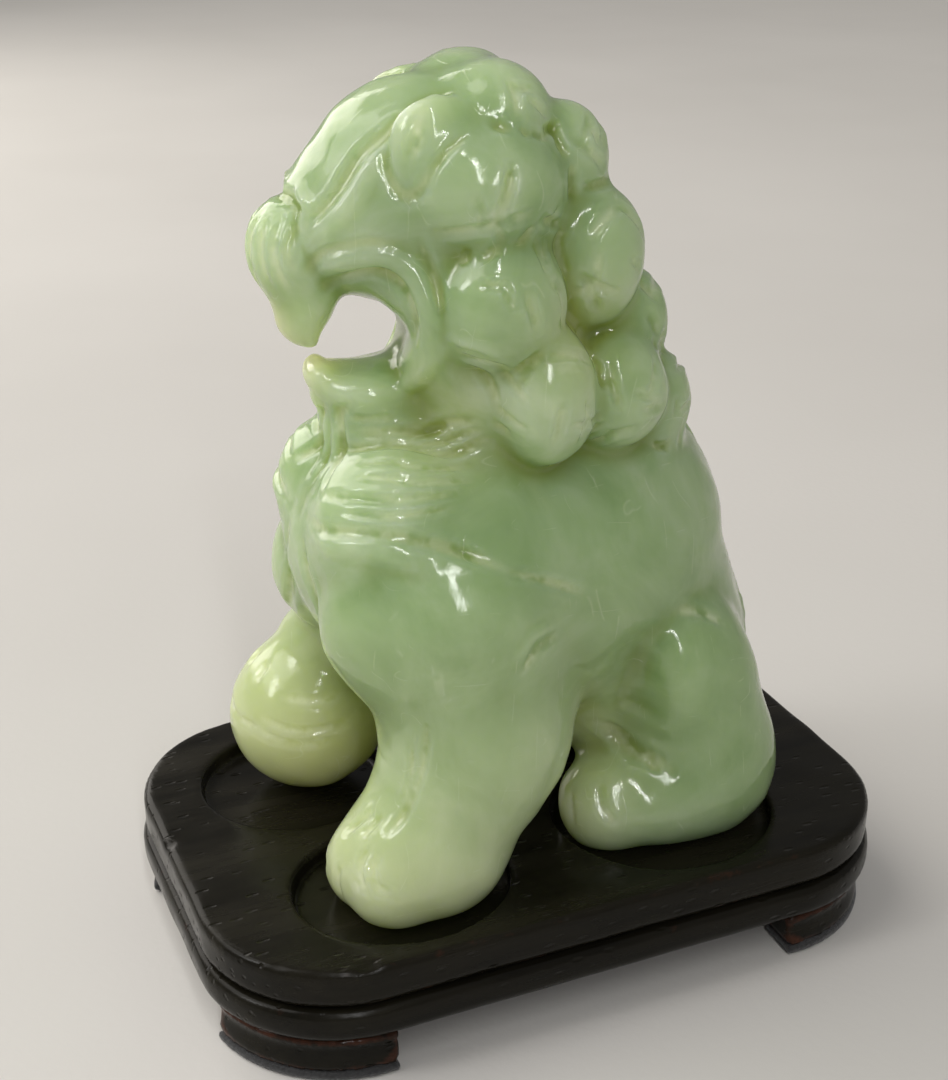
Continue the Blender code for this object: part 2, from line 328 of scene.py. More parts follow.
def model_forelegs(clay):
    clay.add(tapered((8.8, -8.4, 38.0), 9.2, (10.6, -7.8, 26.0), 8.0), 5.0)
    clay.add(tapered((10.6, -7.8, 26.0), 8.0, (11.8, -12.4, 18.0), 7.3), 4.0)
    clay.add(ellipsoid((12.2, -15.2, 14.8), (7.0, 7.8, 5.8), (0, 0, 0)), 4.0)
    clay.add(ellipsoid((10.8, -19.9, 14.4), (3.5, 3.1, 3.8)), 1.8)
    clay.add(ellipsoid((15.4, -18.6, 14.2), (3.3, 3.6, 3.6)), 1.8)
    clay.add(ellipsoid(BALL_CENTRE, (BALL_RADIUS,) * 3), 0.6)
    clay.add(tapered((-9.4, -8.0, 38.0), 8.4, (-10.4, -11.0, 30.0), 7.0), 2.0)
    clay.add(tapered((-10.4, -11.0, 30.0), 7.0, (-10.8, -15.6, 26.8), 5.2), 2.0)
    clay.add(ellipsoid((-11.0, -18.0, 23.8), (5.6, 5.8, 4.0), (14, 0, 0)), 1.6)


def model_hind_legs(clay):
    masses(
        clay,
        (
            ((9.9, 15.8, 23.5), (7.0, 7.6, 12.4), (4, 0, 0), 1.8),
            ((11.0, 13.0, 28.8), (5.0, 5.0, 7.2), (0, 0, 0), 1.8),
            ((9.6, 18.2, 16.4), (7.4, 7.0, 7.0), (0, 0, 0), 5.0),
            ((10.6, 12.2, 15.2), (7.0, 9.8, 5.8), (0, 0, 0), 3.0),
            ((11.4, 5.8, 14.8), (4.6, 4.4, 4.6), (0, 0, 0), 1.6),
        ),
    )


def model_tail(clay):
    """Flame-shaped tail laid up the back, with two curled side tongues."""
    clay.add(ellipsoid((0.0, 24.2, 18.0), (3.8, 3.6, 6.4), (4, 0, 0)), 2.0)
    clay.add(ellipsoid((0.0, 24.0, 26.0), (4.4, 3.6, 7.4), (10, 0, 0)), 1.4)
    clay.add(ellipsoid((0.0, 21.6, 35.0), (2.8, 3.0, 7.6), (22, 0, 0)), 1.4)
    for side in (1, -1):
        clay.add(ellipsoid((3.9 * side, 24.0, 21.6), (2.2, 2.8, 4.4), (4, -14 * side, 0)), 0.8)
        clay.add(ellipsoid((3.6 * side, 22.8, 30.0), (1.9, 2.6, 4.0), (12, -18 * side, 0)), 0.8)


def model_head(clay):
    masses(
        clay,
        (
            ((0.0, -8.6, 75.8), (9.4, 10.9, 10.4), (18, 0, 0), 3.0),
            ((0.0, -14.8, 74.0), (8.0, 6.6, 6.0), (0, 0, 0), 2.0),
            ((0.0, -20.6, 71.4), (4.9, 3.7, 4.6), (0, 0, 0), 0.7),
            ((0.0, -19.2, 66.4), (5.0, 2.8, 4.4), (-8, 0, 0), 2.0),
            ((2.6, -18.8, 63.8), (2.2, 1.9, 2.2), (0, 0, 0), 1.2),
            ((0.0, -13.8, 58.9), (6.0, 5.4, 2.4), (-4, 0, 0), 2.0),
            ((0.0, -18.2, 60.4), (3.4, 1.5, 1.7), (0, 0, 0), 1.2),
            ((0.0, -12.6, 55.4), (6.2, 5.6, 4.8), (0, 0, 0), 2.4),
            ((5.6, -8.6, 67.0), (4.6, 4.6, 7.0), (0, 0, 0), 2.4),
            ((0.0, -17.8, 57.4), (1.8, 1.1, 1.1), (0, 0, 0), 0.7),
        ),
        HEAD_PLACE,
    )
    for side in (1, -1):
        clay.add(ellipsoid((7.2 * side, -8.6, 80.2), (2.4, 4.2, 5.4), (0, 0, 0), HEAD_PLACE), 1.0)


# Mane curls of the left side: centre, radii, blend.
CURLS = (
    ((3.2, -3.2, 83.0), (5.6, 5.0, 4.7), 2.2),
    ((7.8, -5.2, 77.6), (4.4, 6.4, 5.2), 2.2),
    ((4.2, 3.0, 79.0), (4.4, 4.1, 4.9), 1.8),
    ((6.3, 5.2, 70.4), (4.9, 4.8, 6.4), 1.8),
    ((9.6, -4.7, 67.8), (3.8, 5.6, 5.6), 1.8),
    ((10.2, -0.6, 59.0), (3.8, 4.4, 6.4), 1.6),
    ((4.0, 9.8, 63.2), (4.3, 4.2, 5.2), 1.8),
    ((8.1, 7.2, 57.8), (4.5, 4.9, 5.4), 1.7),
    ((4.2, 12.4, 54.8), (4.5, 4.5, 5.4), 1.8),
)
# Curls on the centre line: y and z.
CENTRE_CURLS = ((5.6, 74.8), (8.6, 66.8), (11.8, 58.6))
CENTRE_CURL_RADII = (4.2, 4.2, 4.6)
NICKS_PER_CURL = 7
NICK_REACH = (0.7, 2.2)
NICK_WIDTH = (0.34, 0.46)
NICK_DEPTH = (0.35, 0.7)
CURL_SWEEP = 0.09  # how much a nick bends with the curl, per mm squared


def model_mane(clay):
    clay.add(ellipsoid((0.0, -1.5, 74.0), (9.2, 8.2, 9.0)), 1.5)
    for centre, radii, blend in CURLS:
        clay.add(ellipsoid(centre, radii), blend)
        clay.add(ellipsoid(mirrored(centre), radii), blend)
    for y, z in CENTRE_CURLS:
        clay.add(ellipsoid((0.0, y, z), CENTRE_CURL_RADII), 0.8)


def nick(clay, chance, centre, radii, outward):
    """One short tool cut across the side of an ellipsoid that faces outward."""
    facing = Vector([side + chance.uniform(-0.85, 0.85) for side in outward]).normalized()
    along = facing.cross(Vector([chance.uniform(-1, 1) for _ in range(3)])).normalized()
    middle = Vector([c + r * f for c, r, f in zip(centre, radii, facing)])
    reach = chance.uniform(*NICK_REACH)
    bend = facing * (-CURL_SWEEP * reach**2)
    line = [middle - along * reach + bend, middle, middle + along * reach + bend]
    clay.stroke([tuple(point) for point in line], chance.uniform(*NICK_WIDTH), chance.uniform(*NICK_DEPTH))


def carve_mane(clay):
    chance = random.Random(11)
    for centre, radii, _ in CURLS:
        for side in (1, -1):
            middle = (side * centre[0], centre[1], centre[2])
            for _ in range(NICKS_PER_CURL):
                nick(clay, chance, middle, radii, (side * 1.0, 0.1, 0.0))
    for y, z in CENTRE_CURLS:
        for _ in range(NICKS_PER_CURL):
            nick(clay, chance, (0.0, y, z), CENTRE_CURL_RADII, (0.0, 1.0, 0.2))


# Carved lines: points in mm on the left side, half width, depth. A negative depth is a ridge.
# Lines of the head are given as if it faced straight ahead.
HEAD_LINES = (
    (
        (
            (5.0, -19.8, 74.2), (6.6, -17.6, 77.4), (6.2, -15.0, 80.6),
            (6.2, -12.2, 82.6), (7.0, -9.6, 85.0),
        ),
        0.6,
        0.6,
    ),
    (((5.8, -19.0, 73.4), (7.6, -16.6, 76.6), (7.0, -14.0, 80.0)), 0.8, -0.35),
    (
        (
            (7.2, -12.8, 82.4), (7.8, -13.0, 80.0), (8.8, -12.0, 77.8),
            (9.4, -10.4, 78.2), (10.0, -8.8, 80.8),
        ),
        0.5,
        0.45,
    ),
    (((8.4, -11.0, 80.6), (8.6, -10.4, 82.2), (7.8, -9.8, 83.6)), 0.6, 0.35),
    (((9.0, -10.6, 73.6), (9.6, -9.6, 71.2), (10.4, -8.8, 68.0)), 0.45, 0.4),
    (((5.0, -19.6, 70.4), (6.2, -18.4, 72.4), (8.2, -15.2, 73.7), (8.8, -12.8, 73.4)), 0.5, 0.35),
    (
        (
            (5.0, -19.2, 69.8), (6.6, -17.2, 71.8), (8.2, -13.4, 72.4),
            (9.2, -10.9, 70.6), (9.9, -10.0, 67.4), (9.2, -10.2, 64.6),
        ),
        0.8,
        -0.55,
    ),
    (
        (
            (5.0, -18.0, 69.0), (7.2, -14.8, 71.0), (8.6, -12.2, 70.0),
            (9.2, -11.2, 67.6), (8.4, -11.0, 64.8),
        ),
        0.5,
        0.4,
    ),
    (((6.4, -12.0, 59.2), (8.6, -10.2, 61.6), (9.8, -9.2, 64.2)), 0.7, -0.4),
    (((3.6, -20.2, 76.4), (4.2, -20.4, 74.6), (4.8, -21.2, 72.4), (5.2, -20.6, 70.6)), 0.45, 0.5),
    (((2.2, -22.4, 74.6), (2.8, -23.2, 72.8), (3.2, -23.2, 71.0), (3.2, -22.4, 68.8)), 0.42, 0.35),
    (((0.7, -22.8, 75.0), (1.0, -23.8, 72.8), (1.1, -23.8, 70.8), (1.0, -22.8, 68.6)), 0.42, 0.35),
    (((3.4, -21.6, 74.8), (4.0, -22.3, 72.8), (4.4, -22.2, 71.0), (4.3, -21.2, 68.4)), 0.42, 0.3),
    (((3.0, -19.6, 77.6), (3.8, -19.8, 76.8), (4.8, -19.4, 76.6)), 0.5, -0.4),
    (((0.0, -21.4, 76.6), (2.6, -20.8, 76.6), (4.6, -19.8, 75.4)), 0.6, 0.6),
    (((2.4, -15.6, 55.4), (3.0, -16.0, 57.4), (4.6, -15.8, 58.6)), 0.45, 0.3),
)
MANE_LINES = (
    (((8.6, -10.6, 74.8), (11.4, -8.0, 75.2), (12.0, -5.6, 75.8), (11.8, -3.4, 76.2)), 0.5, 0.5),
    (((10.4, -4.2, 73.4), (11.2, -3.0, 75.0)), 0.4, 0.35),
    (((9.2, -8.4, 73.4), (9.2, -7.2, 72.0)), 0.4, 0.35),
    (((8.6, -8.6, 72.2), (9.6, -7.8, 71.7)), 0.4, 0.35),
    (((10.8, -7.2, 72.4), (10.6, -5.8, 73.1)), 0.4, 0.35),
    (((9.8, -9.2, 65.9), (11.2, -7.8, 65.6), (12.0, -6.2, 64.4)), 0.5, -0.45),
    (((9.6, -8.6, 64.6), (10.8, -7.0, 63.8), (11.4, -5.4, 62.2)), 0.45, 0.4),
    (((9.2, -7.6, 62.6), (9.8, -6.4, 61.0), (9.8, -5.4, 59.0)), 0.45, 0.4),
    (((9.8, -4.8, 62.4), (11.4, -4.6, 61.0), (12.6, -4.0, 59.8)), 0.4, 0.35),
    (((9.8, -5.4, 58.6), (11.4, -4.8, 57.6), (12.8, -3.9, 57.0)), 0.4, 0.35),
    (((9.4, -5.4, 57.0), (10.4, -4.7, 56.2)), 0.4, 0.35),
    (((8.6, 3.4, 64.2), (9.6, 2.6, 62.4), (10.0, 3.0, 60.2)), 0.45, 0.35),
    (((7.4, 0.6, 74.2), (8.8, 0.4, 72.0), (9.6, 0.8, 69.8)), 0.45, 0.35),
    (((6.4, 9.6, 60.6), (7.4, 9.4, 58.2)), 0.45, 0.3),
)
BIB_LINES = (
    (((8.6, -6.8, 57.0), (6.6, -11.0, 56.3), (4.6, -14.6, 55.8), (2.8, -16.4, 55.6)), 0.5, 0.45),
    (((8.9, -6.2, 55.2), (7.8, -9.8, 54.2), (5.0, -15.2, 54.0), (2.4, -17.0, 53.8)), 0.42, 0.55),
    (((9.4, -8.0, 53.6), (8.6, -12.4, 52.9), (6.0, -16.8, 52.8)), 0.36, 0.45),
    (
        (
            (10.8, -10.0, 51.4), (10.2, -15.2, 51.2), (8.0, -18.6, 51.1),
            (5.0, -20.4, 50.8),
        ),
        0.42,
        0.55,
    ),
    (((8.8, -6.6, 56.0), (6.4, -12.2, 55.1), (3.6, -16.0, 54.8)), 0.36, 0.45),
    (((10.4, -8.2, 52.4), (9.4, -13.4, 52.0), (7.0, -17.4, 52.0)), 0.36, 0.45),
    (((11.4, -10.8, 50.4), (10.6, -15.8, 50.0), (8.4, -19.0, 50.0)), 0.36, 0.45),
    (((5.4, -13.4, 57.0), (3.6, -15.6, 56.8), (2.2, -16.6, 56.8)), 0.4, 0.4),
    (((1.4, -17.2, 58.0), (1.6, -17.6, 55.0), (2.6, -18.8, 52.4), (4.4, -20.4, 50.6)), 0.55, 0.45),
    (((0.9, -17.0, 56.4), (0.6, -18.2, 53.4), (0.8, -19.9, 50.0)), 0.5, -0.3),
)
BODY_LINES = (
    (
        (
            (2.0, -21.8, 47.6), (6.6, -21.3, 48.2), (11.2, -16.6, 48.8),
            (13.2, -12.0, 47.4), (15.6, -6.6, 45.0),
        ),
        0.6,
        0.5,
    ),
    (((15.6, -6.6, 45.0), (15.8, -4.4, 44.2), (14.4, 0.4, 41.4)), 0.45, 0.35),
    (((6.0, -22.0, 46.6), (11.0, -18.2, 47.4), (13.4, -13.4, 46.2)), 0.9, -0.35),
    (((2.0, -22.0, 45.0), (3.2, -21.9, 42.0), (4.8, -20.8, 38.4), (7.4, -18.8, 34.2)), 0.6, 0.5),
    (((18.4, -7.0, 37.6), (18.2, -5.6, 39.4), (17.4, -3.2, 39.8)), 0.5, -0.35),
    (((18.0, -6.6, 36.2), (17.8, -4.8, 38.0), (16.8, -2.6, 38.4)), 0.5, 0.3),
)
HAUNCH_LINES = (
    (((13.6, 8.6, 37.0), (15.0, 7.4, 32.0), (15.0, 7.0, 27.0), (14.0, 7.4, 24.0)), 2.4, 0.65),
    (((12.2, 12.0, 35.8), (12.6, 15.2, 34.8), (12.6, 17.0, 33.4)), 0.6, 0.3),
    (((10.0, 5.4, 23.4), (12.6, 7.6, 21.8), (14.4, 9.0, 21.2), (15.4, 10.6, 20.2)), 0.8, 0.6),
    (((14.2, 8.6, 21.6), (15.0, 9.6, 20.2)), 0.4, 0.5),
    (((13.2, 4.0, 19.4), (15.2, 3.5, 17.5), (16.4, 4.6, 15.6)), 0.5, 0.35),
    (((11.0, 1.4, 17.6), (12.4, 1.2, 16.0), (12.8, 1.4, 14.0)), 0.5, 0.35),
)
FORELEG_LINES = (
    (
        (
            (14.9, -14.3, 31.0), (15.1, -14.6, 28.0), (15.3, -16.2, 23.4),
            (15.5, -18.6, 20.6),
        ),
        0.4,
        0.5,
    ),
    (((14.0, -15.2, 28.4), (14.5, -15.7, 25.8), (14.8, -16.8, 23.0)), 0.4, 0.5),
    (
        (
            (14.8, -20.5, 19.4), (15.2, -21.9, 18.1), (16.2, -22.4, 16.8),
            (17.4, -22.2, 16.0),
        ),
        0.45,
        0.4,
    ),
    (
        (
            (16.0, -20.4, 18.8), (16.8, -21.2, 17.8), (18.0, -21.1, 16.6),
            (18.9, -19.9, 16.4),
        ),
        0.4,
        0.5,
    ),
    (((15.2, -23.2, 16.8), (16.4, -22.9, 15.6)), 0.4, 0.4),
    (((11.2, -21.6, 19.0), (12.8, -19.0, 21.2)), 0.45, 0.4),
    (((13.5, -20.8, 19.4), (13.8, -18.6, 21.5)), 0.45, 0.4),
    (((8.6, -23.8, 16.8), (9.0, -24.4, 14.8), (9.2, -24.0, 13.0)), 0.45, 0.35),
    (((13.0, -23.8, 16.8), (13.3, -24.4, 14.8), (13.4, -24.0, 13.0)), 0.45, 0.35),
)
BACK_LINES = (
    (
        (
            (1.2, 27.8, 14.6), (1.6, 28.2, 20.0), (1.2, 27.6, 26.0),
            (0.8, 24.8, 33.0), (0.2, 22.0, 40.0),
        ),
        0.45,
        0.5,
    ),
    (((2.6, 27.4, 15.6), (3.2, 27.4, 20.0), (3.0, 26.8, 25.0), (2.4, 25.4, 29.6)), 0.4, 0.4),
    (((5.0, 26.4, 19.0), (5.2, 26.2, 22.4), (4.4, 26.6, 24.4), (3.6, 26.4, 22.4)), 0.35, 0.35),
    (((4.6, 25.0, 27.4), (4.8, 24.8, 30.6), (3.8, 24.4, 32.6), (3.0, 25.2, 30.6)), 0.35, 0.35),
    (((1.4, 20.6, 40.6), (1.5, 18.8, 46.0), (1.4, 15.4, 51.6)), 0.7, 0.35),
    (((0.2, 21.6, 41.0), (0.2, 19.8, 46.0), (0.2, 16.4, 52.0)), 0.8, -0.3),
)
BALL_LINES = (
    (((-5.2, -22.6, 25.0), (-3.4, -19.6, 24.8), (-3.0, -16.4, 24.8)), 0.5, 0.25),
    (
        (
            (-6.8, -24.6, 22.2), (-3.6, -21.8, 21.6), (-2.6, -18.0, 21.6),
            (-3.2, -14.8, 22.4),
        ),
        0.45,
        0.35,
    ),
    (((-6.6, -25.0, 20.8), (-3.4, -21.8, 20.2), (-2.5, -17.8, 20.3)), 0.45, 0.25),
    (((-14.0, -25.8, 21.6), (-9.6, -26.2, 21.0), (-6.0, -24.6, 21.2)), 0.45, 0.3),
    (((-13.2, -23.4, 27.6), (-13.0, -24.2, 25.4)), 0.5, 0.4),
    (((-9.6, -23.6, 27.6), (-9.4, -24.4, 25.4)), 0.5, 0.4),
)


def engrave(clay, lines, both_sides=True, place=None):
    for points, width, depth in lines:
        for side in (1, -1) if both_sides else (1,):
            path = [Vector((side * x, y, z)) for x, y, z in points]
            if place is not None:
                path = [place @ point for point in path]
            clay.stroke([tuple(point) for point in path], width, depth)


def carve_details(clay):
    engrave(clay, HEAD_LINES, place=HEAD_PLACE)
    carve_mane(clay)
    engrave(clay, MANE_LINES)
    engrave(clay, BIB_LINES)
    engrave(clay, BODY_LINES)
    engrave(clay, HAUNCH_LINES)
    engrave(clay, BACK_LINES)
    engrave(clay, FORELEG_LINES, both_sides=False)
    engrave(clay, BALL_LINES, both_sides=False)


def hand_finish(clay, amount, scale):
    """Slight unevenness of hand work over the whole piece."""
    low = clay.low
    high = low + clay.step * clay.shape
    where, (x, y, z) = clay.window(low, high)
    wave = np.sin(x * scale + 1.3 * np.sin(y * scale * 0.6)) * np.sin(y * scale * 0.8 + z * scale * 0.7)
    wave = wave + 0.6 * np.sin(x * scale * 2.1 + 2.0) * np.sin(y * scale * 1.7 + z * scale * 2.0)
    clay.d[where] += (amount * wave).astype(np.float32)


# Mouth, as if the head faced straight ahead. The hole's middle and radii are y and z at the centre
# plane, and the radii grow by MOUTH_GROWTH per mm outwards. Per mm to the left, the hole climbs by
# MOUTH_CLIMB and moves forward by MOUTH_TILT, and it climbs by MOUTH_TILT per mm towards the back.
MOUTH_MIDDLE = (-14.4, 63.1)
MOUTH_RADII = (3.7, 2.15)
MOUTH_GROWTH = (0.05, 0.12)
MOUTH_CLIMB = 0.19
MOUTH_TILT = 0.10
MOUTH_LEVEL_Y = -14.6  # where the climb towards the back starts from
# Gap between the lips, open to the front: middle height, half height and rear end.
LIP_GAP_Z = 61.9
LIP_GAP_HALF = 0.65
LIP_GAP_BACK = -15.0
CHEEK_X = 10.0  # the hole stops growing here
MOUTH_END_X = 10.5


def pierce_mouth(clay):
    """Hourglass hole from cheek to cheek, open to the front between the lips."""
    inverse = HEAD_PLACE.inverted()
    turn = np.array(inverse.to_3x3())
    shift = np.array(inverse.translation)
    where, (x, y, z) = clay.window((-20, -26, 54), (20, -2, 74))
    hx = turn[0, 0] * x + turn[0, 1] * y + turn[0, 2] * z + shift[0]
    hy = turn[1, 0] * x + turn[1, 1] * y + turn[1, 2] * z + shift[1]
    out = np.minimum(np.abs(hx), CHEEK_X)
    radius_y, radius_z = (radius + growth * out for radius, growth in zip(MOUTH_RADII, MOUTH_GROWTH))
    back = hy - MOUTH_MIDDLE[0] + MOUTH_TILT * hx
    rise = z - MOUTH_MIDDLE[1] - MOUTH_CLIMB * hx - MOUTH_TILT * (hy - MOUTH_LEVEL_Y)
    near = np.sqrt((back / radius_y) ** 2 + (rise / radius_z) ** 2)
    hole = (near - 1.0) * radius_z
    slit = np.maximum(np.abs(z - LIP_GAP_Z - MOUTH_TILT * hx) - LIP_GAP_HALF, hy - LIP_GAP_BACK)
    tool = smooth_min(hole, slit, 0.8)
    tool = np.maximum(tool, np.abs(hx) - MOUTH_END_X)
    clay.d[where] = -smooth_min(-clay.d[where], tool, 2.0)


def level_base(clay):
    low, high = clay.low - 5.0, clay.low + clay.step * clay.shape + 5.0
    clay.carve(slab(low, (high[0], high[1], LION_BASE_Z)), 0.5)


def model_lion():
    clay = Clay(LION_LOW, LION_HIGH, LION_STEP)
    model_body(clay)
    model_head(clay)
    model_mane(clay)
    model_forelegs(clay)
    model_hind_legs(clay)
    model_tail(clay)
    pierce_mouth(clay)
    hand_finish(clay, *LION_WAVES)
    carve_details(clay)
    level_base(clay)
    return clay


# ---- stand --------------------------------------------------------------------------------------

STAND_STEP = 0.42
HALF_X = 23.85
HALF_Y = 36.0
CORNER = 13.9
SEAT_FLOOR = 11.0
TOP_BOARD_Z = (8.5, 12.5)
TOP_BOARD_BOX = ((-25.2, -37.4, 7.4), (25.2, 37.4, 13.6))
TOP_BOARD_WAVES = (0.035, 0.45)
MOULDING_Z = (4.8, 8.2)
MOULDING_BOX = ((-27.0, -39.0, 3.8), (27.0, 39.0, 9.2))
MOULDING_WAVES = (0.04, 0.4)
MOULDING_ROUND = 1.0  # how far its side swells at half height
MOULDING_NECK = 0.6  # how far its upper and lower edges lie inside the outline
FOOT_Z = (1.1, 4.5)
FOOT_BAND = 4.8  # how far the band reaches in from the outline
FOOT_REACH = (11.4, 14.9)  # how far it runs along the ends and the long sides
FOOT_INSET = 0.2  # how far a foot's top and bottom lie inside the outline
FOOT_WAIST = 0.5  # how much further in its waist lies
FOOT_MARGIN = 1.2
PAD_Z = (0.0, 0.8)
PAD_STEP = 0.3
PAD_MARGIN = 0.9
# Chips in the top board's edge: x, y, size.
EDGE_CHIPS = ((22.6, -24.0, 0.8), (19.6, -31.8, 0.6), (23.9, 2.0, 0.7), (-3.0, -36.2, 0.8))
# Lobes of the seat: centre x and y, radius x and y.
SEAT_LOBES = (
    (-9.4, -20.2, 9.6, 9.8),
    (12.2, -16.4, 9.4, 10.7),
    (10.6, 12.8, 11.0, 11.4),
    (-10.6, 12.8, 11.0, 11.4),
    (0.0, 17.0, 9.0, 8.0),
)


def outline(x, y):
    """Distance to the stand's rounded rectangle in plan."""
    over_x = np.abs(x) - (HALF_X - CORNER)
    over_y = np.abs(y) - (HALF_Y - CORNER)
    outside = np.sqrt(np.maximum(over_x, 0) ** 2 + np.maximum(over_y, 0) ** 2)
    return outside + np.minimum(np.maximum(over_x, over_y), 0) - CORNER


def rounded(a, b, radius):
    """Intersection of two shapes with its edge rounded."""
    a, b = a + radius, b + radius
    corner = np.sqrt(np.maximum(a, 0) ** 2 + np.maximum(b, 0) ** 2)
    return corner + np.minimum(np.maximum(a, b), 0) - radius


def board(low, high, edge, profile=None):
    """A board between two heights, with rounded edges, outset by profile(height share)."""

    def distance(x, y, z):
        middle, half = (low + high) / 2, (high - low) / 2
        side = outline(x, y)
        if profile:
            side = side - profile((z - middle) / half)
        return rounded(side, np.abs(z - middle) - half + 0 * side, edge)

    reach = np.array([HALF_X + 2, HALF_Y + 2, 0.0])
    return -reach + (0, 0, low), reach + (0, 0, high), distance


def seat(x, y, z):
    """The pocket for the lion: shallow rounded lobes with soft edges."""
    plan = None
    for cx, cy, rx, ry in SEAT_LOBES:
        near = np.sqrt(((x - cx) / rx) ** 2 + ((y - cy) / ry) ** 2)
        lobe = (near - 1.0) * min(rx, ry)
        plan = lobe if plan is None else smooth_min(plan, lobe, 0.8)
    return rounded(plan + 0.05, SEAT_FLOOR - z + 0 * plan, 0.5)


def model_top_board():
    clay = Clay(*TOP_BOARD_BOX, STAND_STEP)
    clay.add(board(*TOP_BOARD_Z, 0.7), 0.3)
    hand_finish(clay, *TOP_BOARD_WAVES)
    clay.carve(((-24, -34, 9.5), (24, 34, 14), seat), 0.4)
    for x, y, size in EDGE_CHIPS:
        place = (x + 0.5, y, TOP_BOARD_Z[1] + 0.3)
        clay.carve(ellipsoid(place, (size, size * 1.6, size * 0.8)), 0.4)
    return clay


def model_moulding():
    clay = Clay(*MOULDING_BOX, STAND_STEP)

    def bulge(share):
        return MOULDING_ROUND * np.sqrt(np.maximum(1.0 - share**4, 0.0)) - MOULDING_NECK

    clay.add(board(*MOULDING_Z, 0.3, bulge), 0.3)
    hand_finish(clay, *MOULDING_WAVES)
    return clay


def foot(side_x, side_y, low, high, outset, edge):
    """Bracket foot: a band that follows the outline round one corner, outset by outset(height share)."""

    def distance(x, y, z):
        share = np.clip((z - low) / (high - low), 0.0, 1.0)
        side = outline(x, y)
        band = rounded(side - outset(share), -side - FOOT_BAND + 0 * z, edge)
        ends = np.maximum(
            HALF_X - FOOT_REACH[0] - side_x * x, HALF_Y - FOOT_REACH[1] - side_y * y
        )
        band = rounded(band, ends + 0 * band, edge)
        return rounded(band, np.abs(z - (low + high) / 2) - (high - low) / 2 + 0 * band, edge)

    x_ends = sorted((side_x * (HALF_X - 13), side_x * (HALF_X + 2)))
    y_ends = sorted((side_y * (HALF_Y - 17), side_y * (HALF_Y + 2)))
    return (
        np.array([x_ends[0], y_ends[0], low]),
        np.array([x_ends[1], y_ends[1], high]),
        distance,
    )


def model_foot(side_x, side_y):
    def flare(share):
        waist = np.clip(share * 1.5, 0, 1) - np.clip(share * 3 - 2, 0, 1)
        return -FOOT_INSET - FOOT_WAIST * waist

    shape = foot(side_x, side_y, *FOOT_Z, flare, 0.3)
    clay = Clay(shape[0] - FOOT_MARGIN, shape[1] + FOOT_MARGIN, STAND_STEP)
    clay.add(shape, 0.2)
    return clay


def model_pad(side_x, side_y):
    def straight(share):
        return -FOOT_INSET + 0 * share

    shape = foot(side_x, side_y, *PAD_Z, straight, 0.2)
    clay = Clay(shape[0] - PAD_MARGIN, shape[1] + PAD_MARGIN, PAD_STEP)
    clay.add(shape, 0.1)
    return clay


# ---- meshes -------------------------------------------------------------------------------------


def box_blur(field, radius):
    """Mean over a cube of 2 radius + 1 grid points a side."""
    for axis in range(3):
        padded = np.concatenate(
            [np.take(field, [0] * (radius + 1), axis), field, np.take(field, [-1] * radius, axis)], axis
        )
        sums = np.cumsum(padded, axis, dtype=np.float64)
        width = 2 * radius + 1
        ahead = np.take(sums, range(width, sums.shape[axis]), axis)
        behind = np.take(sums, range(0, sums.shape[axis] - width), axis)
        field = ((ahead - behind) / width).astype(np.float32)
    return field


def make_piece(name, clay, material, values):
    points, quads = clay.mesh_arrays()
    mesh = bpy.data.meshes.new(name)
    mesh.from_pydata((points * MM).tolist(), [], quads.tolist())
    mesh.update()
    mesh.polygons.foreach_set("use_smooth", [True] * len(mesh.polygons))
    mesh.materials.append(material)
    for key, field in values.items():
        layer = mesh.attributes.new(key, "FLOAT", "POINT")
        layer.data.foreach_set("value", clay.sample(points, field).astype(np.float32))
    made = bpy.data.objects.new(name, mesh)
    bpy.context.scene.collection.objects.link(made)
    return made


CREVICE_REACH = 1.1  # mm
THICKNESS_REACH = 3.6  # mm


def hollow_and_thin(clay):
    """Share of solid material around each spot: nearby, where a crevice has more, and further away."""
    solid = (clay.d < 0).astype(np.float32)
    fine = max(1, round(CREVICE_REACH / clay.step))
    broad = max(1, round(THICKNESS_REACH / clay.step))
    near = box_blur(box_blur(solid, fine), fine)
    wide = box_blur(box_blur(solid, broad), broad)
    return {"hollow": near, "thick": wide}


# Painted yellow glow of light through the stone, and painted shade round the mouth: centre, reach and
# strength.
GLOW_AND_SHADE_ZONES = (
    ((-8.0, -16.0, 14.0), 11.0, 1.0),
    ((0.0, -4.0, 24.0), 8.0, 0.5),
    ((8.0, 2.0, 22.0), 7.0, 0.3),
    ((10.0, 1.0, 15.0), 5.0, 0.3),
    ((12.0, -16.0, 10.0), 8.0, 0.7),
    ((-4.0, -19.0, 64.0), 4.5, 0.7),
    ((8.0, -10.0, 57.0), 5.0, 0.2),
    ((9.0, 1.0, 64.0), 5.0, 0.25),
)


def painted_glow_and_shade(clay):
    """Field of the painted yellow glow, and of the painted shade round the mouth, 0 to 1."""
    axes = [clay.low[i] + clay.step * np.arange(clay.shape[i]) for i in range(3)]
    x, y, z = np.meshgrid(*axes, indexing="ij", sparse=True)
    field = np.zeros(clay.d.shape, np.float32)
    for centre, reach, strength in GLOW_AND_SHADE_ZONES:
        squared = (x - centre[0]) ** 2 + (y - centre[1]) ** 2 + (z - centre[2]) ** 2
        field = np.maximum(field, strength * np.exp(-squared / reach**2)).astype(np.float32)
    return field


# ---- scene --------------------------------------------------------------------------------------


